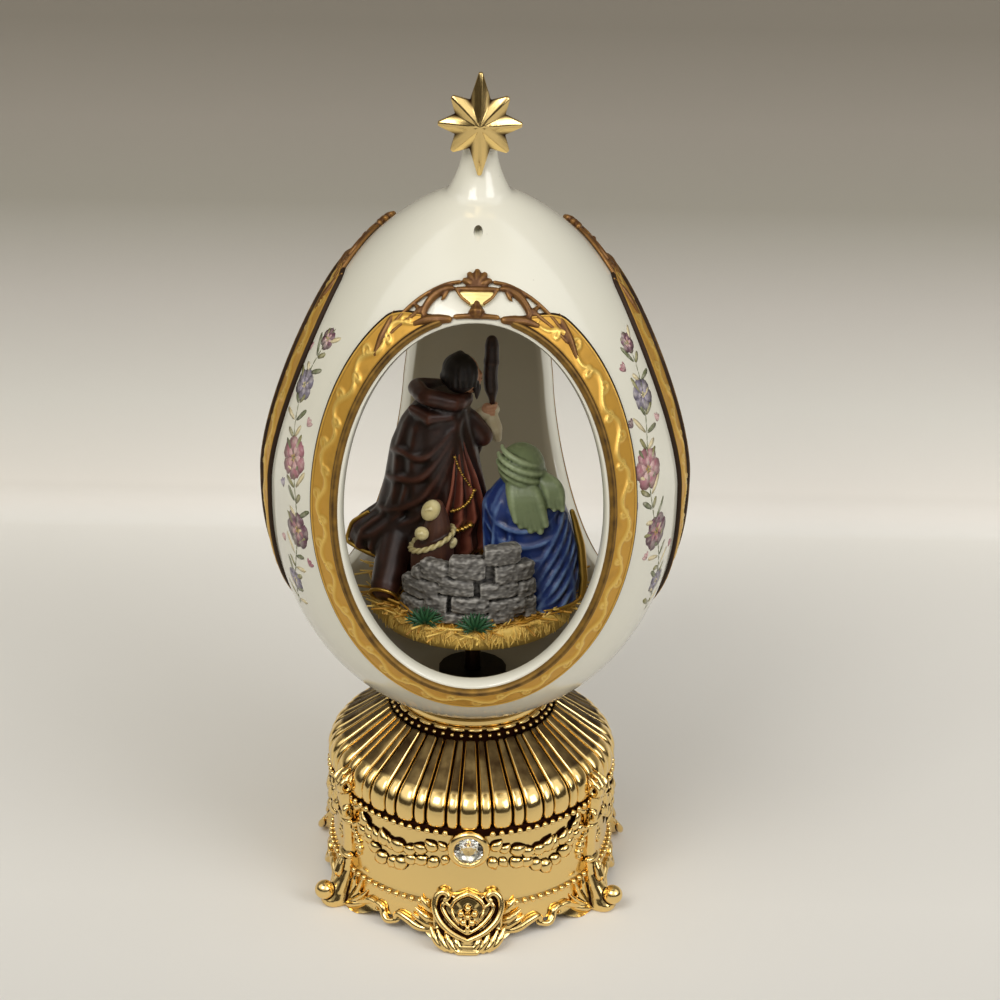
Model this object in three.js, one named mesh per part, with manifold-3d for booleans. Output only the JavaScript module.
// Egg-shaped music box: a windowed porcelain egg on a gadrooned gilt base. Inside the egg a figure group
// turns on a shaft, driven by an 18-note spring movement in the base.
// Millimetres, +Z up, front towards -Y. Pieces lie about the egg's axis, and the whole is centred at the end.
import * as THREE from 'three';
import { mergeVertices } from 'three/addons/utils/BufferGeometryUtils.js';
import Module from 'manifold-3d';

const wasm = await Module();
wasm.setup();

// Clearances
const GAP = 0.3;
const SEAT_GAP = 0.1;

// Base casting
const LOBES = 3;
const BASE_RADIUS = 33.4;
const LOBE_RADIUS = 31.8;
const FOOT_REACH = 42;
const SEAT_HEIGHT = 49.5;
const RIM_HEIGHT = 29.9;
const SHOULDER_HEIGHT = 36.2;
const COLLAR_DROP = 2.9;
const COLLAR_RADIUS = 18;
const HOUSING_WALL = 2;
const SHOULDER_THICKENING = 1.2;
const APRON_FLARE = 4.6;
const ARCH_HEIGHT = 5;
const RIB_PAIRS_PER_LOBE = 9;
const WIDE_RIB = 0.62;
const RIB_HEIGHT = 1.1;
const RIB_FLAT = 0.44;
const PANEL_RECESS = 0.8;
const BAND_HEIGHT = 2.4;
const LOWER_BAND_HEIGHT = 9;
const PILASTER_WIDTH = 4.8;
const CARTOUCHE_WIDTH = 16;
const CARTOUCHE_HEIGHT = 15.2;
const CARTOUCHE_REACH = 40.6;
const CARTOUCHE_DEPTH = 5;
const CARTOUCHE_LEAN = 0.3;
const CARTOUCHE_SUNK = 0.9;

// Stones
const STONE_HEIGHT = 24.7;
const STONE_RADIUS = 3.35;
const BEZEL_RIM = 1.6;
const BEZEL_DEPTH = 2.2;
const STONE_CROWN = 0.9;

// Egg
const EGG_RADIUS = 47.9;
const EGG_BELOW = 62.3;
const EGG_ABOVE = 65.8;
const LOWER_FULLNESS = 2.17;
const UPPER_FULLNESS = 1.64;
const EGG_WALL = 3.3;
const SEAT_RADIUS = 15;
const NECK_RADIUS = 3.8;
const NECK_FOOT_RADIUS = 7.2;
const NECK_LENGTH = 10.4;
const VENT_RADIUS = 1;
const VENT_DROP = 3;

// Windows and their gilt frames
const WINDOW_WIDTH = 58.6;
const WINDOW_HEIGHT = 84.4;
const WINDOW_RISE = 2.8;
const TRIM_WIDTH = 7.4;
const TRIM_RELIEF = 1.5;
const TRIM_MARGIN = 0.5;
const CREST_RISE = 2.4;
const CREST_ARM = 0.5;

// Star
const STAR_HEIGHT = 23.4;
const STAR_WIDTH = 18.4;
const STAR_DIAGONAL = 17.4;
const STAR_VALLEY = 6;
const STAR_EDGE = 1.1;
const STAR_RELIEF = 1.6;
const STAR_RISE = 7;
const PEG_RADIUS = 1.2;
const PEG_DEPTH = 5;

// Turntable and its scene
const SHAFT_RADIUS = 1.85;
const SCENE_RISE = 21.2;
const SCENE_RADIUS = 24.2;
const GROUND_THICKNESS = 5.3;
const HUB_RADIUS = 9;
const HUB_THICKNESS = 1.4;
const HUB_SLEEVE = 4;
const STANDING_HEIGHT = 57.5;
const KNEELING_HEIGHT = 37.5;
const STAFF_LENGTH = 58.5;
const STAFF_RADIUS = 0.75;
const WALL_RADIUS = 19.6;
const WALL_THICKNESS = 3.4;
const COURSE_HEIGHT = 4.7;
const BUNDLE_HEIGHT = 27;
const FERN_HEIGHT = 6.5;
const MANGER_LENGTH = 13;
const MANGER_WIDTH = 8;
const MANGER_HEIGHT = 9;

// Clamp between egg and base
const BUSH_RADIUS = 4.2;
const BUSH_FLANGE = 8;
const FLANGE_THICKNESS = 1.5;
const NUT_ACROSS = 13;
const NUT_THICKNESS = 3.5;

// Bottom plate and its screws
const PLATE_HEIGHT = 11;
const PLATE_THICKNESS = 2;
const BOSS_RADIUS = 3.2;
const SCREW_RADIUS = 1.2;
const SCREW_HEAD = 2.4;
const SCREW_HEAD_THICKNESS = 1.2;
const SCREW_REACH = 8;

// Movement
const BEDPLATE_THICKNESS = 2;
const BEDPLATE_RIGHT = 19;
const BEDPLATE_BACK = 13;
const BEDPLATE_CLEARANCE = 1.8;
const POST_CLEARANCE = 1.4;
const CLUTCH_SPACE = 4;
const CROWN_TEETH = 24;
const CROWN_RADIUS = 9.5;
const CROWN_FACE = 2;
const CROWN_THICKNESS = 1.6;
const DRUM_RADIUS = 7.6;
const DRUM_WALL = 0.9;
const DRUM_HEIGHT = 10;
const COVER_THICKNESS = 1.1;
const ARBOR_RADIUS = 2;
const PINION_TEETH = 8;
const CYLINDER_RADIUS = 5.6;
const PIN_LENGTH = 0.7;
const NOTES = 18;
const TRAIN_SETBACK = 1.78;
const CYLINDER_END = 0.5;
const SPINDLE_RADIUS = 0.8;
const LUG_THICKNESS = 1;
const GEAR_WIDTH = 1.2;
const CYLINDER_GEAR_TEETH = 24;
const GOVERNOR_PINION_TEETH = 6;
const GEAR_MODULE = 2 / 3;
const WORM_WHEEL_TEETH = 12;
const WORM_MODULE = 0.53;
const WORM_RADIUS = 1;
const FAN_RADIUS = 3;
const FAN_HEIGHT = 2.4;
const FAN_CLEARANCE = 0.9;
const COMB_THICKNESS = 1;
const COMB_LENGTH = 10.4;
const COMB_HEEL = 4.4;
const REED_SLOT = 0.18;
const SPRING_TURNS = 4;
const SPRING_STRIP = 0.35;
const CLUTCH_WIRE = 0.3;
const CLUTCH_TURNS = 3;
const KEY_SPAN = 24;
const KEY_THICKNESS = 2.2;
const KEY_HUB = 2.9;
const KEY_CLEARANCE = 1.2;

// Top of the gadrooned dome, just under the egg's seat
const COLLAR_HEIGHT = SEAT_HEIGHT - COLLAR_DROP;

// Directions of the windows and stones, and of the corners between the lobes
const THIRD = 2 * Math.PI / LOBES;
const FACES = { front: 0, right: THIRD, left: -THIRD };
const CORNERS = [THIRD / 2, Math.PI, -THIRD / 2];

// Point at an azimuth counted from the front towards +X
function polar(radius, azimuth, z) {
  return new THREE.Vector3(radius * Math.sin(azimuth), -radius * Math.cos(azimuth), z);
}

// Whole turn in equal steps
function turn(count) {
  return Array.from({ length: count }, (_, i) => 2 * Math.PI * i / count);
}

// Solid from any closed geometry, with shared vertices merged and slivers dropped
function solid(geometry) {
  const bare = new THREE.BufferGeometry();
  bare.setAttribute('position', geometry.getAttribute('position'));
  if (geometry.index) bare.setIndex(geometry.index);
  const merged = mergeVertices(bare, 1e-4);
  const source = merged.index.array;
  const faces = [];
  for (let i = 0; i < source.length; i += 3) {
    const [a, b, c] = source.slice(i, i + 3);
    if (a !== b && b !== c && c !== a) faces.push(a, b, c);
  }
  const mesh = new wasm.Mesh({
    numProp: 3,
    vertProperties: new Float32Array(merged.getAttribute('position').array),
    triVerts: new Uint32Array(faces),
  });
  mesh.merge();
  return new wasm.Manifold(mesh);
}

// Geometry of a finished solid
function shape(body) {
  const mesh = body.getMesh();
  const geometry = new THREE.BufferGeometry();
  geometry.setAttribute('position', new THREE.BufferAttribute(mesh.vertProperties, 3));
  geometry.setIndex(new THREE.BufferAttribute(mesh.triVerts, 1));
  const flat = geometry.toNonIndexed();
  flat.computeVertexNormals();
  return flat;
}

function join(bodies) {
  return bodies.reduce((whole, body) => whole.add(body));
}

function cut(body, tools) {
  return tools.reduce((rest, tool) => rest.subtract(tool), body);
}

// Skin over a stack of rings with equal point counts, capped by fans or closed into a loop
function loft(rings, { closed = false, tips = [null, null] } = {}) {
  const count = rings[0].length;
  const points = rings.flat();
  const faces = [];
  const spans = closed ? rings.length : rings.length - 1;
  for (let i = 0; i < spans; i++) {
    const low = i * count;
    const high = ((i + 1) % rings.length) * count;
    for (let j = 0; j < count; j++) {
      const k = (j + 1) % count;
      faces.push([low + j, low + k, high + k], [low + j, high + k, high + j]);
    }
  }
  if (!closed) {
    const ends = [[rings[0], 0, tips[0]], [rings.at(-1), (rings.length - 1) * count, tips[1]]];
    ends.forEach(([ring, start, tip], end) => {
      const middle = new THREE.Vector3();
      ring.forEach(point => middle.addScaledVector(point, 1 / count));
      points.push(tip ?? middle);
      for (let j = 0; j < count; j++) {
        const face = [points.length - 1, start + j, start + (j + 1) % count];
        faces.push(end === 0 ? face.reverse() : face);
      }
    });
  }
  const volume = faces.reduce((sum, [a, b, c]) =>
    sum + points[a].dot(new THREE.Vector3().crossVectors(points[b], points[c])), 0);
  const outward = volume > 0 ? faces : faces.map(face => face.reverse());
  const geometry = new THREE.BufferGeometry().setFromPoints(points);
  geometry.setIndex(outward.flat());
  return solid(geometry);
}

// Body turned about Z from a profile of [radius, height] pairs that runs upward outside
function turned(profile, segments = 18) {
  const points = profile.map(([radius, z]) => new THREE.Vector2(radius, z));
  return solid(new THREE.LatheGeometry(points, segments).rotateX(Math.PI / 2));
}

// Ring turned about Z from a closed profile
function turnedRing(profile, segments = 18) {
  return turned([...profile, profile[0]], segments);
}

function rod(radius, low, high, segments = 16) {
  return turned([[0, low], [radius, low], [radius, high], [0, high]], segments);
}

// Flat outline in XY given a thickness along Z
function slab(outline, low, high, curveSegments = 10) {
  const options = { depth: high - low, bevelEnabled: false, curveSegments };
  return solid(new THREE.ExtrudeGeometry(outline, options).translate(0, 0, low));
}

function block(xs, ys, zs) {
  const geometry = new THREE.BoxGeometry(xs[1] - xs[0], ys[1] - ys[0], zs[1] - zs[0]);
  return solid(geometry.translate((xs[0] + xs[1]) / 2, (ys[0] + ys[1]) / 2, (zs[0] + zs[1]) / 2));
}

// Body turned about Z to an azimuth
function swing(body, azimuth) {
  return body.rotate([0, 0, THREE.MathUtils.radToDeg(azimuth)]);
}

// Body that stands along Z laid down towards the front
function lieForward(body) {
  return body.rotate([90, 0, 0]);
}

const assembly = new THREE.Group();

function piece(name, body, colour, roughness, metalness = 0) {
  const material = new THREE.MeshStandardMaterial({ color: colour, roughness, metalness });
  const mesh = new THREE.Mesh(shape(body), material);
  mesh.name = name;
  assembly.add(mesh);
}

const GOLD = '#c9a24e';
const STEEL = '#b4b6b8';
const BRASS = '#c8a452';
const PORCELAIN = '#f3f1ea';

// Plan of the base: three arcs meeting at the corners
function planRadius(azimuth) {
  const offset = BASE_RADIUS - LOBE_RADIUS;
  const turnInLobe = azimuth - THIRD * Math.round(azimuth / THIRD);
  const across = offset * Math.sin(turnInLobe);
  return offset * Math.cos(turnInLobe) + Math.sqrt(LOBE_RADIUS ** 2 - across ** 2);
}

function planRing(count, inset, z) {
  return turn(count).map(azimuth => polar(planRadius(azimuth) - inset, azimuth, z));
}

// Hollow of the base, open below
const CAVITY_INSET = HOUSING_WALL + PANEL_RECESS;
const CAVITY_TOP = COLLAR_HEIGHT - HOUSING_WALL;
const CAVITY_TOP_RADIUS = COLLAR_RADIUS - 1;
const CAVITY_SHOULDER = SHOULDER_HEIGHT - HOUSING_WALL - 1.4;

// Screw posts stand in the corners, where a screw head just clears the wall
const BOSS_CIRCLE = planRadius(THIRD / 2) - CAVITY_INSET - SCREW_HEAD - GAP;

// Settings sink a neck through the panel
const BEZEL_NECK = STONE_RADIUS + 0.5;
const PANEL_FACE = BASE_RADIUS - PANEL_RECESS;

function baseHousing() {
  const wallSteps = 36;
  const bandTop = LOWER_BAND_HEIGHT + BAND_HEIGHT;
  const upperBand = RIM_HEIGHT - BAND_HEIGHT - 0.6;
  const wallRing = (inset, z) => planRing(wallSteps, inset, z);
  const apronEdge = turn(wallSteps).map(azimuth => {
    const arch = Math.sin(LOBES * azimuth) ** 2;
    const lift = ARCH_HEIGHT * Math.max(0, (arch - 0.3) / 0.7);
    const flare = APRON_FLARE * (1 - lift / LOWER_BAND_HEIGHT);
    return polar(planRadius(azimuth) + flare, azimuth, lift);
  });
  const wall = loft([
    apronEdge,
    wallRing(0.2, LOWER_BAND_HEIGHT - 0.8),
    wallRing(-0.5, LOWER_BAND_HEIGHT),
    wallRing(-0.5, bandTop),
    wallRing(PANEL_RECESS, bandTop + 0.3),
    wallRing(PANEL_RECESS, upperBand - 0.3),
    wallRing(-0.4, upperBand),
    wallRing(-0.4, upperBand + BAND_HEIGHT),
    wallRing(1.8, RIM_HEIGHT + 0.5),
  ]);

  // Gadrooned dome: wide and narrow ribs by turns, each a flat crest between two grooves
  const pairs = LOBES * RIB_PAIRS_PER_LOBE;
  const ribPoints = [[0, WIDE_RIB], [WIDE_RIB, 1]].flatMap(([from, to]) => [
    { share: from, groove: 1 },
    { share: THREE.MathUtils.lerp(from, to, (1 - RIB_FLAT) / 2), groove: 0 },
    { share: THREE.MathUtils.lerp(from, to, (1 + RIB_FLAT) / 2), groove: 0 },
  ]);
  const ribPoint = (azimuth, spread, z, lean, sunk) => {
    const plain = THREE.MathUtils.lerp(COLLAR_RADIUS, planRadius(azimuth), spread);
    return polar(plain - sunk * Math.cos(lean), azimuth, z - sunk * Math.sin(lean));
  };
  const domeRing = (spread, z, lean, depth) => turn(pairs).flatMap(start =>
    ribPoints.map(({ share, groove }) => {
      const azimuth = start + (share - WIDE_RIB / 2) * 2 * Math.PI / pairs;
      return ribPoint(azimuth, spread, z, lean, groove * depth);
    }));
  const shoulderLean = 0.9;
  const slopeLean = 1.2;
  const dome = loft([
    domeRing(0.95, RIM_HEIGHT, 0, RIB_HEIGHT * 0.4),
    domeRing(1.02, RIM_HEIGHT + 2.8, 0, RIB_HEIGHT),
    domeRing(0.94, SHOULDER_HEIGHT + 0.4, shoulderLean, RIB_HEIGHT),
    domeRing(0.06, COLLAR_HEIGHT + 0.5, slopeLean, RIB_HEIGHT * 0.5),
  ]);
  const collar = turned([
    [0, CAVITY_TOP], [COLLAR_RADIUS - 0.4, CAVITY_TOP], [COLLAR_RADIUS + 0.6, COLLAR_HEIGHT - 0.6],
    [COLLAR_RADIUS, COLLAR_HEIGHT + 0.4], [SEAT_RADIUS - 1, COLLAR_HEIGHT + 0.9],
    [SEAT_RADIUS - 1, SEAT_HEIGHT - SEAT_GAP], [0, SEAT_HEIGHT - SEAT_GAP],
  ], 18);

  const hollowSteps = 30;
  const below = -5;
  const hollow = loft([
    planRing(hollowSteps, CAVITY_INSET - APRON_FLARE, below),
    planRing(hollowSteps, CAVITY_INSET, LOWER_BAND_HEIGHT),
    planRing(hollowSteps, CAVITY_INSET, RIM_HEIGHT - 1),
    planRing(hollowSteps, CAVITY_INSET + SHOULDER_THICKENING, CAVITY_SHOULDER),
    turn(hollowSteps).map(azimuth => polar(CAVITY_TOP_RADIUS, azimuth, CAVITY_TOP)),
  ]);

  // Posts inside the corners that take the plate screws
  const posts = CORNERS.map(azimuth => {
    const at = polar(BOSS_CIRCLE, azimuth, 0);
    const post = rod(BOSS_RADIUS, PLATE_HEIGHT + PLATE_THICKNESS + SEAT_GAP, CAVITY_SHOULDER, 8);
    const holeTop = PLATE_HEIGHT + PLATE_THICKNESS + SCREW_REACH + 1;
    const hole = rod(SCREW_RADIUS + GAP, PLATE_HEIGHT, holeTop, 8);
    return post.subtract(hole).translate([at.x, at.y, 0]);
  });

  // Pilaster at each corner: a console profile standing on a scroll foot
  const back = planRadius(THIRD / 2) - HOUSING_WALL + 0.8;
  const face = planRadius(THIRD / 2) + 1.6;
  const scroll = 3.1;
  const profile = new THREE.Shape();
  profile.moveTo(back, 0);
  profile.lineTo(FOOT_REACH - 1.2, 0);
  profile.bezierCurveTo(FOOT_REACH + 0.6, 2, FOOT_REACH + 0.4, 6.6, FOOT_REACH - 2.6, 6.8);
  profile.bezierCurveTo(face + 0.6, 7.4, face - 0.6, LOWER_BAND_HEIGHT + 1, face - 0.4, LOWER_BAND_HEIGHT + 5);
  profile.bezierCurveTo(face - 0.4, RIM_HEIGHT - 8, face + 1.4, RIM_HEIGHT - 5, face + 1.4, RIM_HEIGHT - 2);
  profile.bezierCurveTo(face + 1.4, RIM_HEIGHT + 1.5, face, RIM_HEIGHT + 3.5, back, RIM_HEIGHT + 3.5);
  const volute = rod(scroll, -PILASTER_WIDTH * 0.8, PILASTER_WIDTH * 0.8, 8)
    .translate([FOOT_REACH - scroll, scroll + 0.2, 0]);
  const upright = slab(profile, -PILASTER_WIDTH / 2, PILASTER_WIDTH / 2, 3).add(volute)
    .rotate([90, 0, 0]).rotate([0, 0, -90]);
  const pilasters = CORNERS.map(azimuth => swing(upright, azimuth));

  // Heart-shaped foot under each stone, with a leaf to either side, leaning back from the table
  const half = CARTOUCHE_WIDTH / 2;
  const top = CARTOUCHE_HEIGHT;
  const heart = new THREE.Shape();
  heart.moveTo(-4.2, 0);
  heart.lineTo(4.2, 0);
  heart.quadraticCurveTo(8, 1.2, 12.5, 5.4);
  heart.quadraticCurveTo(9.5, 7.4, 5.6, 6.6);
  heart.bezierCurveTo(half + 2, top * 0.5, half + 2.6, top, half - 2.6, top);
  heart.quadraticCurveTo(1.2, top, 0, top - 3);
  heart.quadraticCurveTo(-1.2, top, 2.6 - half, top);
  heart.bezierCurveTo(-half - 2.6, top, -half - 2, top * 0.5, -5.6, 6.6);
  heart.quadraticCurveTo(-9.5, 7.4, -12.5, 5.4);
  heart.quadraticCurveTo(-8, 1.2, -4.2, 0);
  const field = new THREE.Path();
  field.moveTo(0, 4);
  field.bezierCurveTo(4.5, 6, half - 0.8, top * 0.52, half - 2.6, top * 0.8);
  field.quadraticCurveTo(3.4, top * 0.87, 0, top - 4.8);
  field.quadraticCurveTo(-3.4, top * 0.87, 2.6 - half, top * 0.8);
  field.bezierCurveTo(0.8 - half, top * 0.52, -4.5, 6, 0, 4);
  const ground = slab(heart, -CARTOUCHE_DEPTH, -CARTOUCHE_SUNK, 3);
  heart.holes.push(field);
  const underTable = block([-BASE_RADIUS, BASE_RADIUS], [-BASE_RADIUS, BASE_RADIUS], [2 * below, 0]);
  const shield = slab(heart, -CARTOUCHE_DEPTH, 0, 3).add(ground)
    .rotate([90 - THREE.MathUtils.radToDeg(CARTOUCHE_LEAN), 0, 0]).subtract(underTable)
    .translate([0, -CARTOUCHE_REACH, 0]);
  const shields = Object.values(FACES).map(azimuth => swing(shield, azimuth));

  const bushHole = rod(BUSH_RADIUS + GAP, CAVITY_TOP - 5, SEAT_HEIGHT + 5, 18);
  const stoneHoles = Object.values(FACES).map(azimuth =>
    swing(lieForward(rod(BEZEL_NECK + GAP, BASE_RADIUS - 10, BASE_RADIUS + 5, 14)
      .translate([0, STONE_HEIGHT, 0])), azimuth));

  const spotFaces = Object.values(FACES).map(azimuth =>
    swing(lieForward(rod(STONE_RADIUS + BEZEL_RIM + GAP, PANEL_FACE, BASE_RADIUS + 5, 14)
      .translate([0, STONE_HEIGHT, 0])), azimuth));

  const casting = join([wall, dome, collar, ...pilasters, ...shields]);
  return cut(join([cut(casting, [hollow]), ...posts]), [bushHole, ...stoneHoles, ...spotFaces]);
}

piece('base_housing', baseHousing(), GOLD, 0.3, 1);

// Stones in cup settings, each on the panel of its lobe
for (const [side, azimuth] of Object.entries(FACES)) {
  const rim = STONE_RADIUS + BEZEL_RIM;
  const bore = STONE_RADIUS + 0.2;
  const floor = 0.4;
  const cup = turned([
    [0, -1.6], [BEZEL_NECK, -1.6], [BEZEL_NECK, GAP], [rim - 0.3, GAP], [rim, BEZEL_DEPTH * 0.5],
    [rim - 0.5, BEZEL_DEPTH], [bore, BEZEL_DEPTH], [bore, floor], [0, floor],
  ], 14);
  const stone = turned([
    [0, floor + SEAT_GAP], [STONE_RADIUS * 0.4, floor + SEAT_GAP], [STONE_RADIUS, BEZEL_DEPTH - 0.6],
    [STONE_RADIUS, BEZEL_DEPTH - 0.2], [STONE_RADIUS * 0.6, BEZEL_DEPTH + STONE_CROWN],
    [0, BEZEL_DEPTH + STONE_CROWN],
  ], 12);
  const seat = body => swing(lieForward(body.translate([0, STONE_HEIGHT, PANEL_FACE])), azimuth);
  piece(`bezel_${side}`, seat(cup), GOLD, 0.25, 1);
  piece(`crystal_${side}`, seat(stone), '#eef3f6', 0.02);
}

// Egg profile: superellipse quarters below and above the equator
const EQUATOR = SEAT_HEIGHT
  + EGG_BELOW * (1 - (SEAT_RADIUS / EGG_RADIUS) ** LOWER_FULLNESS) ** (1 / LOWER_FULLNESS);
const NECK_FOOT = EQUATOR
  + EGG_ABOVE * (1 - (NECK_FOOT_RADIUS / EGG_RADIUS) ** UPPER_FULLNESS) ** (1 / UPPER_FULLNESS);
const NECK_TOP = NECK_FOOT + NECK_LENGTH;
const EGG_FLOOR = SEAT_HEIGHT + EGG_WALL;

function eggRadius(z, inset = 0) {
  const rise = z - EQUATOR;
  const [reach, fullness] = rise > 0 ? [EGG_ABOVE, UPPER_FULLNESS] : [EGG_BELOW, LOWER_FULLNESS];
  const share = Math.min(1, Math.abs(rise) / (reach - inset));
  return (EGG_RADIUS - inset) * (1 - share ** fullness) ** (1 / fullness);
}

// Profile points between two heights, evenly turned round the quarter ellipse
function eggCurve(low, high, inset, count) {
  const angle = z => {
    const reach = (z < EQUATOR ? EGG_BELOW : EGG_ABOVE) - inset;
    return Math.asin(THREE.MathUtils.clamp((z - EQUATOR) / reach, -1, 1));
  };
  const from = angle(low);
  const to = angle(high);
  return Array.from({ length: count + 1 }, (_, i) => {
    const at = THREE.MathUtils.lerp(from, to, i / count);
    const z = EQUATOR + Math.sin(at) * ((at < 0 ? EGG_BELOW : EGG_ABOVE) - inset);
    return [eggRadius(z, inset), z];
  });
}

// Oval of a window on the egg's outer surface, grown by a margin measured along the surface
const WINDOW_CENTRE = EQUATOR + WINDOW_RISE;
const SIDE_TILT = Math.sqrt(1 - (WINDOW_WIDTH / 2 / EGG_RADIUS) ** 2);
const END_TILT = 0.86;

function windowPoint(angle, grow, lift = 0) {
  const x = (WINDOW_WIDTH / 2 + grow * SIDE_TILT) * Math.sin(angle);
  const z = WINDOW_CENTRE + (WINDOW_HEIGHT / 2 + grow * END_TILT) * Math.cos(angle);
  const radius = eggRadius(z);
  const point = new THREE.Vector3(x, -Math.sqrt(Math.max(0, radius ** 2 - x ** 2)), z);
  const slope = (eggRadius(z + 0.1) - eggRadius(z - 0.1)) / 0.2;
  const normal = new THREE.Vector3(point.x, point.y, -radius * slope).normalize();
  return point.addScaledVector(normal, lift);
}

function eggShell() {
  const segments = 33;
  const neckPoints = [0.2, 0.5, 0.9].map(share => [
    NECK_RADIUS + (NECK_FOOT_RADIUS - NECK_RADIUS) * (1 - share) ** 1.7, NECK_FOOT + NECK_LENGTH * share,
  ]);
  const outside = turned([
    [0, SEAT_HEIGHT], ...eggCurve(SEAT_HEIGHT, NECK_FOOT, 0, 11), ...neckPoints,
    [NECK_RADIUS * 0.85, NECK_TOP], [0, NECK_TOP],
  ], segments);
  const roof = EQUATOR + EGG_ABOVE - EGG_WALL;
  const inside = turned([
    [0, EGG_FLOOR], ...eggCurve(EGG_FLOOR, roof - 1.5, EGG_WALL, 7), [0, roof - 0.4],
  ], segments);

  const windowSteps = 30;
  const apex = new THREE.Vector3(0, 0, WINDOW_CENTRE);
  const windowRing = reach => turn(windowSteps).map(angle =>
    windowPoint(angle, 0).sub(apex).multiplyScalar(reach).add(apex));
  const beyond = new THREE.Vector3(0, -2 * EGG_RADIUS, WINDOW_CENTRE);
  const opening = loft([windowRing(0.55), windowRing(1.3)], { tips: [null, beyond] });
  const openings = Object.values(FACES).map(azimuth => swing(opening, azimuth));

  const footHole = rod(BUSH_RADIUS + GAP, SEAT_HEIGHT - 2, EGG_FLOOR + 2, 18);
  const pegHole = rod(PEG_RADIUS + GAP, NECK_TOP - PEG_DEPTH - GAP, NECK_TOP + 2, 8);
  const vent = lieForward(rod(VENT_RADIUS, 0, EGG_RADIUS, 8).translate([0, NECK_FOOT - VENT_DROP, 0]));
  return cut(outside, [inside, ...openings, footHole, pegHole, vent]);
}

piece('egg_shell', eggShell(), PORCELAIN, 0.12);

// Gilt frame round each window: a moulded band that widens into a crest at the top
function windowTrim() {
  const steps = 32;
  const section = [[0, 0], [0.02, 0.9], [0.25, 0.75], [0.9, 0.65], [1, 0], [0.5, 0]];
  const bump = (distance, reach) => Math.max(0, 1 - (distance / reach) ** 2);
  const crest = angle => {
    const fromTop = Math.min(angle, 2 * Math.PI - angle);
    return CREST_RISE * Math.max(bump(fromTop, 0.2), 0.8 * bump(fromTop - CREST_ARM, 0.14));
  };
  const crowded = turn(steps).map(angle => angle - 0.45 * Math.sin(angle));
  const rings = crowded.map(angle => section.map(([across, lift]) => {
    const grow = TRIM_MARGIN + across * (TRIM_WIDTH + crest(angle));
    return windowPoint(angle, grow, GAP + lift * TRIM_RELIEF);
  }));
  return loft(rings, { closed: true });
}

for (const [side, azimuth] of Object.entries(FACES)) {
  piece(`window_trim_${side}`, swing(windowTrim(), azimuth), '#b98f3c', 0.35, 1);
}

// Star: sixteen-sided outline raised to a point in front, hung before the neck on a bent peg
function starFinial() {
  const setback = NECK_RADIUS + GAP + STAR_EDGE;
  const centre = NECK_TOP + STAR_RISE;
  const reach = i => {
    if (i % 2 === 1) return STAR_VALLEY;
    return [STAR_HEIGHT, STAR_DIAGONAL, STAR_WIDTH, STAR_DIAGONAL][(i / 2) % 4] / 2;
  };
  const outline = y => turn(16).map((angle, i) =>
    new THREE.Vector3(reach(i) * Math.sin(angle), y, centre + reach(i) * Math.cos(angle)));
  const face = loft([outline(-setback - STAR_EDGE / 2), outline(-setback + STAR_EDGE / 2)], {
    tips: [
      new THREE.Vector3(0, -setback - STAR_EDGE / 2 - STAR_RELIEF, centre),
      new THREE.Vector3(0, -setback + STAR_EDGE / 2 + STAR_RELIEF * 0.5, centre),
    ],
  });
  const bend = 2 * PEG_RADIUS;
  const path = new THREE.CatmullRomCurve3([
    new THREE.Vector3(0, -setback, centre),
    new THREE.Vector3(0, -bend / 2, centre - bend * 0.2),
    new THREE.Vector3(0, 0, centre - bend * 0.8),
    new THREE.Vector3(0, 0, NECK_TOP - PEG_DEPTH),
  ]);
  const section = new THREE.Shape().absarc(0, 0, PEG_RADIUS, 0, 2 * Math.PI);
  const peg = new THREE.ExtrudeGeometry(section, { steps: 5, curveSegments: 3, extrudePath: path });
  return face.add(solid(peg));
}

piece('star_finial', starFinial(), '#d3ab58', 0.28, 1);

// Clamp that holds the egg on the base and guides the shaft
const BUSH_BORE = SHAFT_RADIUS + 0.2;
const NUT_TOP = CAVITY_TOP - SEAT_GAP;
const FLANGE_LOW = EGG_FLOOR + SEAT_GAP;
piece('clamp_bush', turnedRing([
  [BUSH_BORE, NUT_TOP - NUT_THICKNESS - 1], [BUSH_RADIUS, NUT_TOP - NUT_THICKNESS - 1],
  [BUSH_RADIUS, FLANGE_LOW], [BUSH_FLANGE, FLANGE_LOW], [BUSH_FLANGE, FLANGE_LOW + FLANGE_THICKNESS],
  [BUSH_BORE, FLANGE_LOW + FLANGE_THICKNESS],
]), BRASS, 0.35, 1);

const hexagon = new THREE.Shape(turn(6).map(angle =>
  new THREE.Vector2(Math.cos(angle), Math.sin(angle)).multiplyScalar(NUT_ACROSS / Math.sqrt(3))));
hexagon.holes.push(new THREE.Path().absarc(0, 0, BUSH_RADIUS + 0.2, 0, 2 * Math.PI));
piece('clamp_nut', slab(hexagon, NUT_TOP - NUT_THICKNESS, NUT_TOP), BRASS, 0.35, 1);

// Bottom plate: the plan of the hollow, screwed up against the corner posts
const PLATE_TOP = PLATE_HEIGHT + PLATE_THICKNESS;
const BEDPLATE_LOW = PLATE_TOP + SEAT_GAP;
const BEDPLATE_TOP = BEDPLATE_LOW + BEDPLATE_THICKNESS;
const BEDPLATE_LEFT = BOSS_CIRCLE * Math.sin(THIRD / 2) - BOSS_RADIUS - POST_CLEARANCE;
const BEDPLATE_RADIUS = BASE_RADIUS - CAVITY_INSET - BEDPLATE_CLEARANCE;
const MOVEMENT_SCREWS = [[-BEDPLATE_LEFT + 4, 5], [BEDPLATE_RIGHT - 4, 5]];

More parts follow.
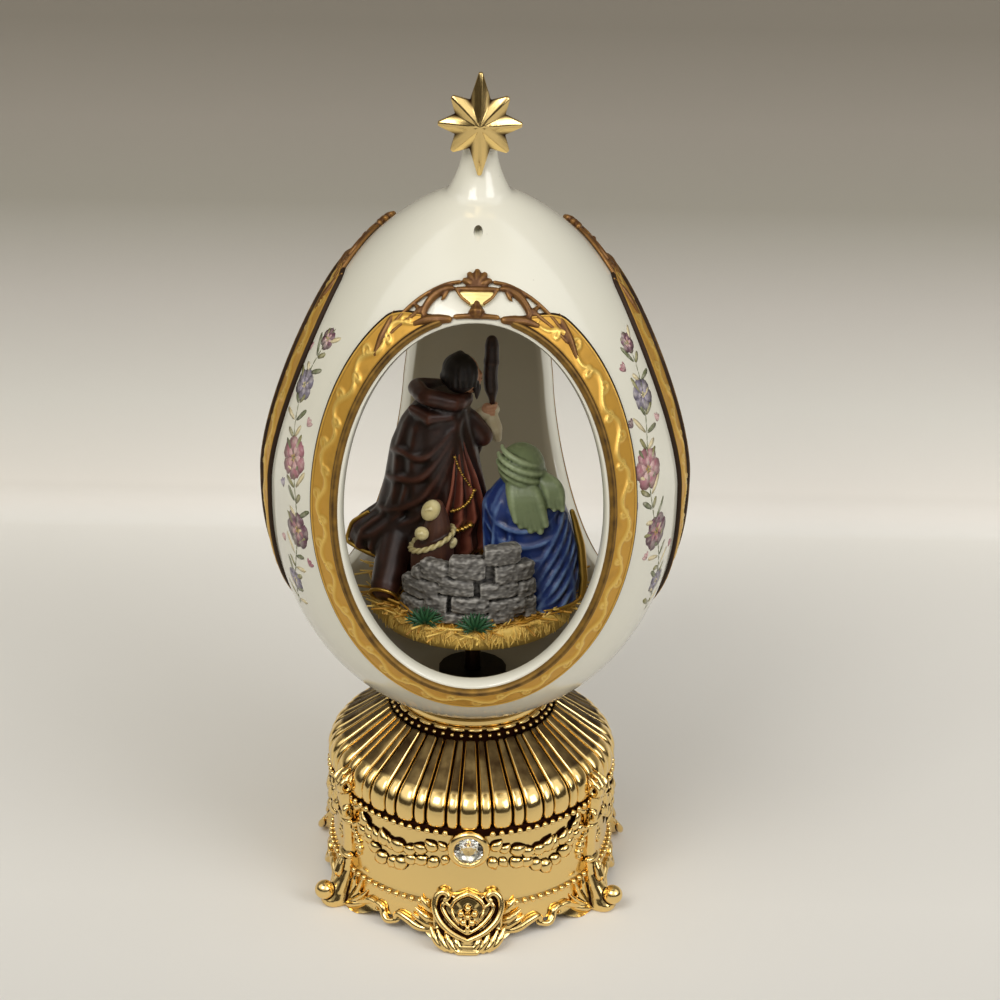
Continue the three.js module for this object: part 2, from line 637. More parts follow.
function bottomPlate() {
  const edge = turn(36).map(azimuth => polar(planRadius(azimuth) - CAVITY_INSET - GAP, azimuth, 0));
  const outline = new THREE.Shape(edge.map(point => new THREE.Vector2(point.x, point.y)));
  const posts = CORNERS.map(azimuth => polar(BOSS_CIRCLE, azimuth, 0)).map(point => [point.x, point.y]);
  const holes = [[0, 0, ARBOR_RADIUS + GAP]];
  [...posts, ...MOVEMENT_SCREWS].forEach(([x, y]) => holes.push([x, y, SCREW_RADIUS + GAP]));
  holes.forEach(([x, y, radius]) =>
    outline.holes.push(new THREE.Path().absarc(x, y, radius, 0, 2 * Math.PI)));
  return slab(outline, PLATE_HEIGHT, PLATE_TOP, 4);
}

piece('bottom_plate', bottomPlate(), '#3a3a3c', 0.5);

// Pan-head screw driven upward, its head under the given height
function screw(low, reach) {
  return turned([
    [0, low - SCREW_HEAD_THICKNESS], [SCREW_HEAD * 0.8, low - SCREW_HEAD_THICKNESS], [SCREW_HEAD, low],
    [SCREW_RADIUS, low], [SCREW_RADIUS, low + reach], [0, low + reach],
  ], 8);
}

CORNERS.forEach((azimuth, i) => {
  const at = polar(BOSS_CIRCLE, azimuth, 0);
  const body = screw(PLATE_HEIGHT - SEAT_GAP, PLATE_THICKNESS + SCREW_REACH).translate([at.x, at.y, 0]);
  piece(`plate_screw_${i + 1}`, body, STEEL, 0.35, 1);
});

MOVEMENT_SCREWS.forEach(([x, y], i) => {
  const body = screw(PLATE_HEIGHT - SEAT_GAP, PLATE_THICKNESS + BEDPLATE_THICKNESS).translate([x, y, 0]);
  piece(`movement_screw_${i + 1}`, body, STEEL, 0.35, 1);
});

// Heights and places of the movement's train
const CROWN_LOW = BEDPLATE_TOP + CLUTCH_SPACE;
const CROWN_MODULE = 2 * CROWN_RADIUS / CROWN_TEETH;
const CROWN_FLOOR = CROWN_LOW + CROWN_THICKNESS;
const CROWN_PITCH_HEIGHT = CROWN_FLOOR + 1.2 * CROWN_MODULE;
const PINION_RADIUS = CROWN_MODULE * PINION_TEETH / 2;
const CYLINDER_AXIS = CROWN_PITCH_HEIGHT + PINION_RADIUS;
const DRUM_TOP = CROWN_FLOOR + DRUM_HEIGHT;
const COVER_TOP = DRUM_TOP + SEAT_GAP + COVER_THICKNESS;

// Stations forward of the egg's axis, along the cylinder
const PINION_NEAR = CROWN_RADIUS - CROWN_FACE / 2 + 0.2;
const PINION_FAR = CROWN_RADIUS + CROWN_FACE / 2 - 0.2;
const INNER_LUG = CROWN_RADIUS + CROWN_FACE / 2 + 0.6;
const CYLINDER_NEAR = INNER_LUG + LUG_THICKNESS + GAP;
const OUTER_LUG = BEDPLATE_RADIUS - TRAIN_SETBACK - LUG_THICKNESS;
const GEAR_NEAR = OUTER_LUG - GAP - GEAR_WIDTH;
const CYLINDER_FAR = GEAR_NEAR - GAP;
const NOTE_PITCH = (CYLINDER_FAR - CYLINDER_NEAR - 2 * CYLINDER_END) / NOTES;
const GOVERNOR_OFFSET = GEAR_MODULE * (CYLINDER_GEAR_TEETH + GOVERNOR_PINION_TEETH) / 2;
const WORM_WHEEL_RADIUS = WORM_MODULE * WORM_WHEEL_TEETH / 2;
const WORM_WHEEL_AT = (CYLINDER_NEAR + CYLINDER_FAR) / 2;
const WORM_OFFSET = GOVERNOR_OFFSET + WORM_WHEEL_RADIUS + WORM_RADIUS;
const COMB_TIP = CYLINDER_RADIUS + PIN_LENGTH + GAP;
const COMB_LOW = CYLINDER_AXIS - COMB_THICKNESS / 2;
const FAN_LOW = CYLINDER_AXIS + WORM_WHEEL_RADIUS + 1.4;
const WORM_TOP = FAN_LOW + FAN_HEIGHT + FAN_CLEARANCE;
const BRACKET_AT = WORM_OFFSET + FAN_RADIUS + 0.7;
const BRACKET_THICKNESS = 1;

// Flat gear blank with straight-sided teeth, the first tooth along +X unless turned by half a pitch
function gearBlank(teeth, module, low, high, phase = 0) {
  const pitch = 2 * Math.PI / teeth;
  const root = module * (teeth / 2 - 1.2);
  const tip = module * (teeth / 2 + 0.8);
  const corners = [[root, -0.3], [tip, -0.12], [tip, 0.12], [root, 0.3]];
  const points = turn(teeth).flatMap(angle => corners.map(([radius, share]) => {
    const at = angle + (share + phase) * pitch;
    return new THREE.Vector2(radius * Math.cos(at), radius * Math.sin(at));
  }));
  return slab(new THREE.Shape(points), low, high);
}

function combScrewPlaces() {
  const across = COMB_TIP + COMB_LENGTH - COMB_HEEL / 2;
  const length = CYLINDER_FAR - CYLINDER_NEAR;
  return [0.22, 0.78].map(share => [across, -(CYLINDER_NEAR + share * length)]);
}

function bedplate() {
  const left = -BEDPLATE_LEFT;
  const blank = block([left, BEDPLATE_RIGHT], [-BEDPLATE_RADIUS, BEDPLATE_BACK],
    [BEDPLATE_LOW, BEDPLATE_TOP]);
  const plate = blank.intersect(rod(BEDPLATE_RADIUS, BEDPLATE_LOW - 1, BEDPLATE_TOP + 1, 30));
  const lugTop = CYLINDER_AXIS + 2.2;
  const lug = near => block([-GOVERNOR_OFFSET - 2, 2.4], [-near - LUG_THICKNESS, -near],
    [BEDPLATE_TOP - 0.5, lugTop]);
  const pedestal = block([COMB_TIP + COMB_LENGTH - COMB_HEEL, COMB_TIP + COMB_LENGTH],
    [-CYLINDER_FAR, -CYLINDER_NEAR], [BEDPLATE_TOP - 0.5, COMB_LOW - SEAT_GAP]);
  const bearing = x => lieForward(rod(SPINDLE_RADIUS + 0.2, INNER_LUG - 1, OUTER_LUG + LUG_THICKNESS + 1, 8)
    .translate([x, CYLINDER_AXIS, 0]));
  const tapped = combScrewPlaces().map(([x, y]) =>
    rod(SCREW_RADIUS * 0.6 + GAP, BEDPLATE_TOP + 1, COMB_LOW + 1, 8).translate([x, y, 0]));
  const through = MOVEMENT_SCREWS.map(([x, y]) =>
    rod(SCREW_RADIUS + GAP, BEDPLATE_LOW - 1, BEDPLATE_TOP + 1, 8).translate([x, y, 0]));
  const arborHole = rod(ARBOR_RADIUS + GAP, BEDPLATE_LOW - 1, BEDPLATE_TOP + 1, 14);
  const wormPivot = rod(SPINDLE_RADIUS + 0.2, BEDPLATE_LOW + 0.6, BEDPLATE_TOP + 1, 8)
    .translate([-WORM_OFFSET, -WORM_WHEEL_AT, 0]);
  return cut(join([plate, lug(INNER_LUG), lug(OUTER_LUG), pedestal]),
    [bearing(0), bearing(-GOVERNOR_OFFSET), ...tapped, ...through, arborHole, wormPivot]);
}

piece('bedplate', bedplate(), '#8d9094', 0.45, 1);

// Comb: eighteen reeds cut from one steel plate, longest for the lowest note
function comb() {
  const tip = COMB_TIP;
  const heel = COMB_TIP + COMB_LENGTH;
  const low = CYLINDER_NEAR + CYLINDER_END;
  const outline = new THREE.Shape();
  outline.moveTo(heel, -(CYLINDER_FAR - CYLINDER_END));
  outline.lineTo(heel, -low);
  for (let note = 0; note < NOTES; note++) {
    const start = -(low + note * NOTE_PITCH);
    const end = start - NOTE_PITCH + REED_SLOT;
    const root = heel - COMB_HEEL - 0.09 * note;
    if (note > 0) outline.lineTo(root, start);
    outline.lineTo(tip, start);
    outline.lineTo(tip, end);
    if (note < NOTES - 1) outline.lineTo(root, end);
  }
  outline.lineTo(tip, -(CYLINDER_FAR - CYLINDER_END));
  combScrewPlaces().forEach(([x, y]) =>
    outline.holes.push(new THREE.Path().absarc(x, y, SCREW_RADIUS * 0.6 + GAP, 0, 2 * Math.PI)));
  return slab(outline, COMB_LOW, COMB_LOW + COMB_THICKNESS, 5);
}

piece('comb', comb(), '#c3c5c7', 0.25, 1);

combScrewPlaces().forEach(([x, y], i) => {
  const head = COMB_LOW + COMB_THICKNESS + SEAT_GAP;
  const shank = SCREW_RADIUS * 0.6;
  const body = turned([
    [0, BEDPLATE_TOP + 1.5], [shank, BEDPLATE_TOP + 1.5], [shank, head], [SCREW_HEAD * 0.7, head],
    [SCREW_HEAD * 0.5, head + 1], [0, head + 1],
  ], 8);
  piece(`comb_screw_${i + 1}`, body.translate([x, y, 0]), STEEL, 0.3, 1);
});

// Cylinder with two pins for each note, on its spindle
function pinnedCylinder() {
  const drum = turned([
    [0, PINION_NEAR - 0.4], [SPINDLE_RADIUS, PINION_NEAR - 0.4], [SPINDLE_RADIUS, CYLINDER_NEAR],
    [CYLINDER_RADIUS, CYLINDER_NEAR], [CYLINDER_RADIUS, CYLINDER_FAR], [SPINDLE_RADIUS, CYLINDER_FAR],
    [SPINDLE_RADIUS, OUTER_LUG + LUG_THICKNESS], [0, OUTER_LUG + LUG_THICKNESS],
  ], 18);
  const goldenAngle = Math.PI * (3 - Math.sqrt(5));
  const pin = new THREE.ConeGeometry(0.22, PIN_LENGTH + 0.8, 3).rotateZ(-Math.PI / 2)
    .translate(CYLINDER_RADIUS + (PIN_LENGTH - 0.8) / 2, 0, 0);
  const pins = Array.from({ length: 2 * NOTES }, (_, i) => {
    const note = i % NOTES;
    const along = CYLINDER_NEAR + CYLINDER_END + (note + 0.35) * NOTE_PITCH;
    return swing(solid(pin.clone()), i * goldenAngle).translate([0, 0, along]);
  });
  return lieForward(join([drum, ...pins])).translate([0, 0, CYLINDER_AXIS]);
}

piece('cylinder', pinnedCylinder(), BRASS, 0.3, 1);

// Gear on a spindle that runs forward at a given place across the movement
function forwardGear(body, x) {
  return lieForward(body).translate([x, 0, CYLINDER_AXIS]);
}

function boredGear(teeth, module, near, far, phase) {
  const bore = rod(SPINDLE_RADIUS + 0.1, near - 1, far + 1, 12);
  return gearBlank(teeth, module, near, far, phase).subtract(bore);
}

// The pinion has a tooth straight down between two crown teeth
const DOWN_PHASE = ((PINION_TEETH * 3 / 4) % 1);
piece('cylinder_pinion', forwardGear(
  boredGear(PINION_TEETH, CROWN_MODULE, PINION_NEAR, PINION_FAR, DOWN_PHASE), 0), BRASS, 0.35, 1);
piece('cylinder_gear', forwardGear(
  boredGear(CYLINDER_GEAR_TEETH, GEAR_MODULE, GEAR_NEAR, GEAR_NEAR + GEAR_WIDTH, 0), 0), BRASS, 0.35, 1);

// Governor wheel: a pinion driven by the cylinder's gear, and the wheel that turns the worm
function governorWheel() {
  const spindle = rod(SPINDLE_RADIUS, INNER_LUG, OUTER_LUG + LUG_THICKNESS, 10);
  const pinion = gearBlank(GOVERNOR_PINION_TEETH, GEAR_MODULE, GEAR_NEAR, GEAR_NEAR + GEAR_WIDTH, 0.5);
  const wheel = gearBlank(WORM_WHEEL_TEETH, WORM_MODULE, WORM_WHEEL_AT - 0.6, WORM_WHEEL_AT + 0.6, 0);
  return join([spindle, pinion, wheel]);
}

piece('governor_wheel', forwardGear(governorWheel(), -GOVERNOR_OFFSET), BRASS, 0.35, 1);

// Worm: one helical thread whose turns pass between the wheel's teeth
function governorWorm() {
  const pitch = Math.PI * WORM_MODULE;
  const turns = 3;
  const stepsPerTurn = 6;
  const core = WORM_RADIUS - WORM_MODULE;
  const crest = WORM_RADIUS + WORM_MODULE * 0.8;
  const start = CYLINDER_AXIS - pitch * (turns - 1) / 2;
  const rings = Array.from({ length: turns * stepsPerTurn + 1 }, (_, i) => {
    const angle = 2 * Math.PI * i / stepsPerTurn + Math.PI / 2;
    const z = start + pitch * (i / stepsPerTurn - 0.5);
    return [[core - 0.2, -0.24], [crest, -0.1], [crest, 0.1], [core - 0.2, 0.24]].map(([radius, share]) =>
      polar(radius, angle, z + share * pitch));
  });
  const spindle = rod(core, BEDPLATE_LOW + 0.9, WORM_TOP, 10);
  return spindle.add(loft(rings)).translate([-WORM_OFFSET, -WORM_WHEEL_AT, 0]);
}

piece('governor_worm', governorWorm(), STEEL, 0.3, 1);

// Fan: three vanes on a hub that holds the worm's spindle back by air drag
function governorFan() {
  const bore = WORM_RADIUS - WORM_MODULE + 0.1;
  const high = FAN_LOW + FAN_HEIGHT;
  const hub = turnedRing([[bore, FAN_LOW], [1.4, FAN_LOW], [1.4, high], [bore, high]], 12);
  const vane = block([1.1, FAN_RADIUS], [-0.25, 0.25], [FAN_LOW + 0.3, high - 0.3]);
  const vanes = turn(3).map(angle => swing(vane, angle));
  return join([hub, ...vanes]).translate([-WORM_OFFSET, -WORM_WHEEL_AT, 0]);
}

piece('governor_fan', governorFan(), '#d8d4c6', 0.5);

// Bracket that steadies the top of the worm
function governorBracket() {
  const top = WORM_TOP + 0.2;
  const outer = BRACKET_AT + BRACKET_THICKNESS;
  const elbow = new THREE.Shape();
  elbow.moveTo(-outer, BEDPLATE_TOP + SEAT_GAP);
  elbow.lineTo(-BRACKET_AT + 2.4, BEDPLATE_TOP + SEAT_GAP);
  elbow.lineTo(-BRACKET_AT + 2.4, BEDPLATE_TOP + SEAT_GAP + BRACKET_THICKNESS);
  elbow.lineTo(-BRACKET_AT, BEDPLATE_TOP + SEAT_GAP + BRACKET_THICKNESS);
  elbow.lineTo(-BRACKET_AT, top - BRACKET_THICKNESS);
  elbow.lineTo(1.6 - WORM_OFFSET, top - BRACKET_THICKNESS);
  elbow.lineTo(1.6 - WORM_OFFSET, top);
  elbow.lineTo(-outer, top);
  const strap = slab(elbow, -2, 2).rotate([90, 0, 0]).translate([0, -WORM_WHEEL_AT, 0]);
  const pivot = rod(WORM_RADIUS - WORM_MODULE + 0.15, top - BRACKET_THICKNESS - 1, top + 1, 10)
    .translate([-WORM_OFFSET, -WORM_WHEEL_AT, 0]);
  return strap.subtract(pivot);
}

piece('governor_bracket', governorBracket(), STEEL, 0.4, 1);

// Spring barrel: drum on a crown wheel whose teeth stand up, with a gap facing the pinion
function springBarrel() {
  const outer = CROWN_RADIUS + CROWN_FACE / 2;
  const bore = ARBOR_RADIUS + GAP;
  const drum = turnedRing([
    [bore, CROWN_LOW], [outer, CROWN_LOW], [outer, CROWN_FLOOR], [DRUM_RADIUS, CROWN_FLOOR],
    [DRUM_RADIUS, DRUM_TOP], [DRUM_RADIUS - DRUM_WALL, DRUM_TOP], [DRUM_RADIUS - DRUM_WALL, CROWN_FLOOR],
    [bore, CROWN_FLOOR],
  ], 24);
  const pitch = 2 * Math.PI / CROWN_TEETH;
  const toothReach = CROWN_FACE / 2 - 0.2;
  const toothRing = (share, z) => [[-1, -share], [1, -share], [1, share], [-1, share]]
    .map(([end, side]) => polar(CROWN_RADIUS + end * toothReach, side * pitch, z));
  const toothTop = CROWN_PITCH_HEIGHT + 0.8 * CROWN_MODULE;
  const tooth = loft([toothRing(0.3, CROWN_FLOOR - 0.3), toothRing(0.12, toothTop)]);
  const teeth = turn(CROWN_TEETH).map(angle => swing(tooth, angle + pitch / 2));
  return join([drum, ...teeth]);
}

piece('spring_barrel', springBarrel(), BRASS, 0.35, 1);

piece('barrel_cover', turned([
  [0, DRUM_TOP + SEAT_GAP], [DRUM_RADIUS - 0.1, DRUM_TOP + SEAT_GAP], [DRUM_RADIUS - 0.1, COVER_TOP - 0.2],
  [DRUM_RADIUS - 0.6, COVER_TOP], [0, COVER_TOP],
]), BRASS, 0.35, 1);

// Mainspring: a strip coiled from the arbor out to the drum
function mainspring() {
  const stepsPerTurn = 12;
  const inside = ARBOR_RADIUS + GAP;
  const outside = DRUM_RADIUS - DRUM_WALL - GAP - SPRING_STRIP;
  const low = CROWN_FLOOR + GAP;
  const high = DRUM_TOP - GAP;
  const count = SPRING_TURNS * stepsPerTurn;
  const rings = Array.from({ length: count + 1 }, (_, i) => {
    const radius = THREE.MathUtils.lerp(inside, outside, i / count);
    const angle = 2 * Math.PI * i / stepsPerTurn;
    return [polar(radius, angle, low), polar(radius + SPRING_STRIP, angle, low),
      polar(radius + SPRING_STRIP, angle, high), polar(radius, angle, high)];
  });
  return loft(rings);
}

piece('mainspring', mainspring(), '#6f7a8c', 0.3, 1);

// Winding arbor from the key up into the barrel, and the wrap spring that lets it turn one way
const KEY_TOP = PLATE_HEIGHT - 0.4;
const ARBOR_LOW = KEY_TOP - 4;
piece('winding_arbor', turned([
  [0, ARBOR_LOW], [ARBOR_RADIUS * 0.8, ARBOR_LOW], [ARBOR_RADIUS, ARBOR_LOW + 0.5],
  [ARBOR_RADIUS, DRUM_TOP - GAP], [0, DRUM_TOP - GAP],
], 20), STEEL, 0.3, 1);

function clutchSpring() {
  const stepsPerTurn = 8;
  const radius = ARBOR_RADIUS + GAP + CLUTCH_WIRE;
  const low = BEDPLATE_TOP + SEAT_GAP + CLUTCH_WIRE;
  const climb = (CLUTCH_SPACE - 2 * CLUTCH_WIRE - 2 * SEAT_GAP) / CLUTCH_TURNS;
  const rings = Array.from({ length: CLUTCH_TURNS * stepsPerTurn + 1 }, (_, i) => {
    const angle = 2 * Math.PI * i / stepsPerTurn;
    const z = low + climb * i / stepsPerTurn;
    return turn(5).map(side =>
      polar(radius + CLUTCH_WIRE * Math.cos(side), angle, z + CLUTCH_WIRE * Math.sin(side)));
  });
  return loft(rings);
}

piece('clutch_spring', clutchSpring(), STEEL, 0.3, 1);

// Butterfly key: two pierced wings below a round hub
function windingKey() {
  const low = KEY_CLEARANCE;
  const wing = KEY_SPAN / 4;
  const height = Math.min(2 * wing, KEY_TOP - low - 1);
  const half = height / 2;
  const outline = new THREE.Shape();
  outline.moveTo(0, low + 1);
  outline.bezierCurveTo(wing, low - 0.4, KEY_SPAN / 2, low, KEY_SPAN / 2, low + half);
  outline.bezierCurveTo(KEY_SPAN / 2, low + height, wing, low + height, 0, low + height - 1);
  outline.bezierCurveTo(-wing, low + height, -KEY_SPAN / 2, low + height, -KEY_SPAN / 2, low + half);
  outline.bezierCurveTo(-KEY_SPAN / 2, low, -wing, low - 0.4, 0, low + 1);
  [-1, 1].forEach(side => outline.holes.push(
    new THREE.Path().absarc(side * KEY_SPAN * 0.31, low + half, half * 0.42, 0, 2 * Math.PI)));
  const wings = slab(outline, -KEY_THICKNESS / 2, KEY_THICKNESS / 2, 4).rotate([90, 0, 0]);
  const hub = rod(KEY_HUB, low + half, KEY_TOP, 12);
  const socket = rod(ARBOR_RADIUS + 0.2, ARBOR_LOW - 0.2, KEY_TOP + 1, 12);
  return wings.add(hub).subtract(socket);
}

piece('winding_key', windingKey(), BRASS, 0.35, 1);

// Shaft from the barrel cover up through the egg, with the flange that carries the scene
const SCENE_LOW = SEAT_HEIGHT + SCENE_RISE;
const GROUND_TOP = SCENE_LOW + GROUND_THICKNESS;
const HUB_TOP = SCENE_LOW - SEAT_GAP;
const SHAFT_TOP = HUB_TOP - SEAT_GAP;
piece('turntable_shaft', rod(SHAFT_RADIUS, COVER_TOP + SEAT_GAP, SHAFT_TOP, 20), '#3b2a1d', 0.5, 1);
piece('turntable_hub', turnedRing([
  [SHAFT_RADIUS + 0.2, HUB_TOP - HUB_THICKNESS - HUB_SLEEVE],
  [SHAFT_RADIUS + 1.6, HUB_TOP - HUB_THICKNESS - HUB_SLEEVE],
  [SHAFT_RADIUS + 1.6, HUB_TOP - HUB_THICKNESS], [HUB_RADIUS, HUB_TOP - HUB_THICKNESS], [HUB_RADIUS, HUB_TOP],
  [SHAFT_RADIUS + 0.2, HUB_TOP],
]), '#5c5348', 0.5, 1);

// Straw-strewn ground: a disc with a ragged edge
function sceneGround() {
  const ragged = (inset, z) => turn(30).map(angle => {
    const wave = 0.4 * Math.cos(5 * angle + 1) + 0.35 * Math.cos(9 * angle) + 0.25 * Math.cos(14 * angle + 2);
    return polar(SCENE_RADIUS - inset + wave, angle, z);
  });
  return loft([
    ragged(2.4, SCENE_LOW), ragged(0.3, SCENE_LOW + 1), ragged(0, SCENE_LOW + GROUND_THICKNESS * 0.6),
    ragged(0.8, GROUND_TOP),
  ]);
}

piece('scene_ground', sceneGround(), '#b58a3e', 0.9);

const STAND = GROUND_TOP + SEAT_GAP;

// Place of a figure's detail, given in shares of the figure's height from where it stands
function figurePoint({ at, height }, [x, y, z]) {
  return new THREE.Vector3(at.x + x * height, at.y + y * height, STAND + z * height);
}

// Draped body through stations of [height, lean x, lean y, half width, half depth, fold depth] in such shares
function drapedBody(figure, stations, folds, count = 20) {
  const rings = stations.map(([share, leanX, leanY, halfWidth, halfDepth, fold]) => turn(count).map(angle => {
    const ripple = 1 + fold * Math.cos(folds * angle + 3 * share);
    const x = leanX + halfWidth * ripple * Math.sin(angle);
    const y = leanY - halfDepth * ripple * Math.cos(angle);
    return figurePoint(figure, [x, y, share]);
  }));
  return loft(rings);
}

// Rounded mass in a figure, such as a head, with its radii in the same shares
function ball(figure, centre, radii, segments = 10) {
  const geometry = new THREE.SphereGeometry(figure.height, segments, Math.round(segments * 0.7));
  geometry.rotateX(Math.PI / 2).scale(...radii);
  const at = figurePoint(figure, centre);
  return solid(geometry.translate(at.x, at.y, at.z));
}

// Limb or fold that tapers between two points
function limb(from, to, startRadius, endRadius, count = 8) {
  const axis = to.clone().sub(from).normalize();
  const side = new THREE.Vector3().crossVectors(axis, new THREE.Vector3(0, 0, 1)).normalize();
  const up = new THREE.Vector3().crossVectors(side, axis);
  const ring = (centre, radius) => turn(count).map(angle => centre.clone()
    .addScaledVector(side, radius * Math.cos(angle)).addScaledVector(up, radius * Math.sin(angle)));
  return loft([ring(from, startRadius), ring(to, endRadius)]);
}

// Standing figure seen from behind: a trailing cloak, one heel drawn back, one arm out to the staff
const STAFF_AT = new THREE.Vector2(3.4, 7.5);

function standingFigure() {
  const figure = { at: new THREE.Vector2(-9.4, 4.4), height: STANDING_HEIGHT };
  const high = figure.height;
  const robe = drapedBody(figure, [
    [0, -0.045, 0.019, 0.167, 0.13, 0.08], [0.1, -0.045, 0.016, 0.18, 0.13, 0.08],
    [0.16, -0.07, 0.01, 0.277, 0.143, 0.07], [0.24, -0.06, 0.008, 0.262, 0.141, 0.07],
    [0.31, -0.005, 0.005, 0.228, 0.139, 0.07], [0.44, 0, 0, 0.2, 0.136, 0.06],
    [0.6, -0.004, -0.006, 0.172, 0.13, 0.05], [0.71, 0.005, -0.01, 0.14, 0.12, 0.04],
    [0.78, 0.026, -0.014, 0.11, 0.096, 0.03], [0.83, 0.055, -0.017, 0.062, 0.066, 0],
  ], 9);
  const cowl = ball(figure, [0.015, -0.014, 0.79], [0.108, 0.1, 0.05]);
  const head = ball(figure, [0.1, -0.02, 0.885], [0.092, 0.092, 0.1]);
  const heel = limb(figurePoint(figure, [-0.13, -0.02, 0.28]), figurePoint(figure, [-0.19, -0.235, 0.06]),
    0.08 * high, 0.056 * high);
  const hand = new THREE.Vector3(
    STAFF_AT.x - 3 * STAFF_RADIUS, STAFF_AT.y - STAFF_RADIUS / 2, STAND + 0.72 * high);
  const arm = limb(figurePoint(figure, [0.104, 0.028, 0.7]), hand, 0.056 * high, 0.028 * high);
  const grip = rod(STAFF_RADIUS + GAP, STAND - 1, STAND + STAFF_LENGTH + 1, 10);
  return join([robe, cowl, head, heel, arm]).subtract(grip.translate([STAFF_AT.x, STAFF_AT.y, 0]));
}

piece('standing_figure', standingFigure(), '#5a2f22', 0.7);

// Knotted staff, thicker towards its top
const staff = turned([
  [0, STAND], [STAFF_RADIUS * 0.8, STAND], [STAFF_RADIUS, STAND + STAFF_LENGTH * 0.7],
  [STAFF_RADIUS, STAND + STAFF_LENGTH * 0.8], [STAFF_RADIUS * 2, STAND + STAFF_LENGTH * 0.85],
  [STAFF_RADIUS * 1.7, STAND + STAFF_LENGTH * 0.92], [STAFF_RADIUS * 2.2, STAND + STAFF_LENGTH * 0.98],
  [0, STAND + STAFF_LENGTH],
], 8);
piece('staff', staff.translate([STAFF_AT.x, STAFF_AT.y, 0]), '#2b1d14', 0.6);

// Kneeling figure: a spread cloak under a veiled, bowed head
function kneelingFigure() {
  const figure = { at: new THREE.Vector2(13, -2.6), height: KNEELING_HEIGHT };
  const high = figure.height;
  const cloak = drapedBody(figure, [
    [0, 0.04, -0.037, 0.26, 0.25, 0.06], [0.14, 0.03, -0.03, 0.28, 0.235, 0.06],
    [0.34, 0, -0.011, 0.285, 0.205, 0.05], [0.5, -0.03, 0, 0.27, 0.19, 0.05],
    [0.62, -0.05, 0, 0.25, 0.176, 0.04], [0.72, -0.04, 0.005, 0.19, 0.145, 0.03],
    [0.8, -0.04, 0.016, 0.12, 0.11, 0],
  ], 8);
  const head = ball(figure, [-0.06, 0.01, 0.83], [0.15, 0.16, 0.162]);
  const veil = limb(figurePoint(figure, [-0.01, -0.05, 0.8]), figurePoint(figure, [0.06, -0.13, 0.47]),
    0.13 * high, 0.115 * high);
  return join([cloak, head, veil]);
}

piece('kneeling_figure', kneelingFigure(), '#3e6aa5', 0.7);

// Drystone wall: courses of blocks along the front edge of the ground, highest to the right of the middle
function stoneWall() {
  const courses = [[-54, 38], [-52, 36], [-38, 42], [8, 33]];
  const blockAngle = 20;
  const stagger = 0.5;
  const stones = courses.flatMap(([from, to], course) => {
    const count = Math.round((to - from) / blockAngle);
    const step = (to - from) / count;
    return Array.from({ length: count }, (_, i) => {
      const middle = THREE.MathUtils.degToRad(from + (i + 0.5) * step);
      const width = 2 * WALL_RADIUS * Math.tan(THREE.MathUtils.degToRad(step / 2)) + stagger;
      const depth = WALL_THICKNESS - stagger * ((i + course) % 2);
      const low = STAND + course * COURSE_HEIGHT * 0.98;
      const stone = block([-width / 2, width / 2], [-depth / 2, depth / 2], [low, low + COURSE_HEIGHT]);
      return swing(stone.translate([0, -WALL_RADIUS, 0]), middle);
    });
  });
  return join(stones);
}

piece('stone_wall', stoneWall(), '#6f6d68', 0.9);

// Sack with a rolled rim, standing between the wall and the cloak, with loaves heaped in it
function provisionBundle() {
  const figure = { at: new THREE.Vector2(-9.5, -9.5), height: BUNDLE_HEIGHT };
  const sack = drapedBody(figure, [
    [0, 0, 0, 0.13, 0.13, 0.03], [0.3, 0, 0, 0.15, 0.15, 0.04], [0.56, 0, 0, 0.17, 0.16, 0.03],
    [0.62, 0, 0, 0.2, 0.175, 0.02], [0.68, 0, 0, 0.19, 0.165, 0], [0.72, 0, 0, 0.12, 0.12, 0],
  ], 4, 12);
  const loaves = [
    ball(figure, [0, 0.01, 0.88], [0.105, 0.1, 0.115], 8),
    ball(figure, [-0.09, -0.02, 0.72], [0.09, 0.085, 0.08], 8),
    ball(figure, [0.1, -0.01, 0.72], [0.085, 0.085, 0.075], 8),
  ];
  return join([sack, ...loaves]);
}

piece('provision_bundle', provisionBundle(), '#c7a24c', 0.8);

// Fern tuft: pointed leaves spreading up against the wall's foot
function fern(azimuth) {
  const foot = WALL_RADIUS + WALL_THICKNESS / 2 + GAP + 0.9;
  const [halfWidth, halfDepth] = [0.7, 0.45];
  const leaves = [-0.9, -0.4, 0, 0.45, 0.95].map(lean => {
    const corners = [[-1, -1], [1, -1], [1, 1], [-1, 1]];
    const length = FERN_HEIGHT * (1 - 0.25 * Math.abs(lean));
    const ring = share => corners.map(([x, y]) => new THREE.Vector3(
      x * halfWidth * (1 + 0.2 * share) + share * length * Math.sin(lean), y * halfDepth - foot,
      STAND + share * length * Math.cos(lean)));
    const tip = new THREE.Vector3(
      length * Math.sin(lean), -foot - halfDepth / 2, STAND + length * Math.cos(lean));
    return loft([ring(0), ring(0.55)], { tips: [null, tip] });
  });
  return swing(join(leaves), azimuth);
}

piece('fern_left', fern(-0.5), '#2f5a34', 0.8);
piece('fern_right', fern(0.03), '#2f5a34', 0.8);

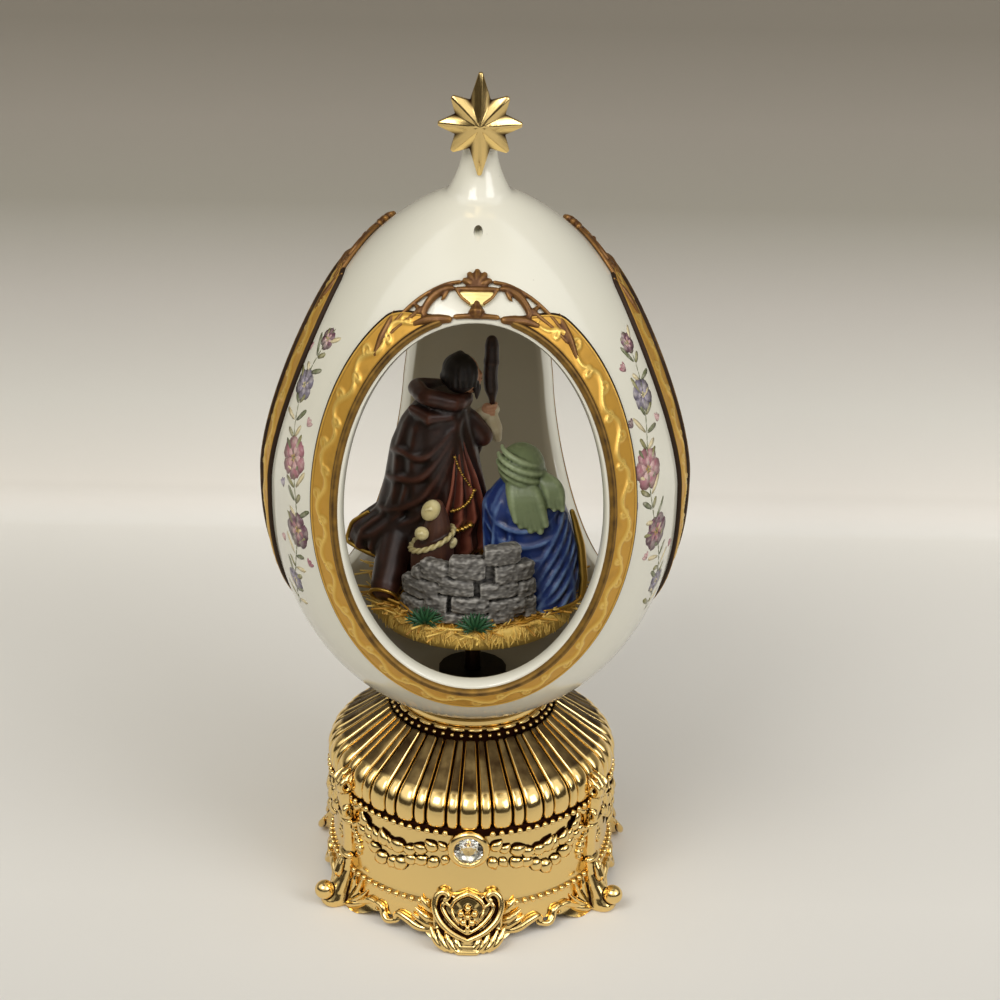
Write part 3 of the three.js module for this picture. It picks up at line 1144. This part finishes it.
// Manger on crossed trestles, with the swaddled infant laid in it
const MANGER_AT = new THREE.Vector2(6, 14);
const TROUGH_FLOOR = 1.4;
const TROUGH_LOW = STAND + MANGER_HEIGHT * 0.45;

function manger() {
  const half = MANGER_LENGTH / 2;
  const low = TROUGH_LOW;
  const high = STAND + MANGER_HEIGHT;
  const board = 1.2;
  const trough = new THREE.Shape();
  trough.moveTo(-MANGER_WIDTH * 0.28, low);
  trough.lineTo(MANGER_WIDTH * 0.28, low);
  trough.lineTo(MANGER_WIDTH / 2, high);
  trough.lineTo(MANGER_WIDTH / 2 - board, high);
  trough.lineTo(MANGER_WIDTH * 0.2, low + TROUGH_FLOOR);
  trough.lineTo(-MANGER_WIDTH * 0.2, low + TROUGH_FLOOR);
  trough.lineTo(board - MANGER_WIDTH / 2, high);
  trough.lineTo(-MANGER_WIDTH / 2, high);
  const upright = body => body.rotate([90, 0, 0]).rotate([0, 0, 90]);
  const box = upright(slab(trough, -half, half));
  const reach = MANGER_WIDTH * 0.45;
  const leg = side => {
    const outline = new THREE.Shape();
    outline.moveTo(-side * reach, STAND);
    outline.lineTo(-side * (reach - 1.3 * board), STAND);
    outline.lineTo(side * reach * 0.6, low + board);
    outline.lineTo(side * (reach * 0.6 - 1.3 * board), low + board);
    const inset = MANGER_LENGTH * 0.12;
    return [inset - half, half - inset - board].map(at => upright(slab(outline, at, at + board)));
  };
  return join([box, ...leg(1), ...leg(-1)]).translate([MANGER_AT.x, MANGER_AT.y, 0]);
}

piece('manger', manger(), '#7a5634', 0.85);

function infant() {
  const figure = { at: MANGER_AT, height: MANGER_LENGTH };
  const half = MANGER_WIDTH * 0.2 / MANGER_LENGTH;
  const rise = (TROUGH_LOW + TROUGH_FLOOR + GAP - STAND) / MANGER_LENGTH + half;
  const body = ball(figure, [-0.08, 0, rise], [0.36, half, half], 8);
  const head = ball(figure, [0.3, 0, rise + 0.05], [half * 1.1, half * 1.05, half * 1.1], 8);
  return body.add(head);
}

piece('infant', infant(), '#e9e2d2', 0.8);

// The origin lies on the table under the middle of the object's depth, from the front foot to the egg's back
assembly.position.y = (CARTOUCHE_REACH - EGG_RADIUS) / 2;

export default assembly;
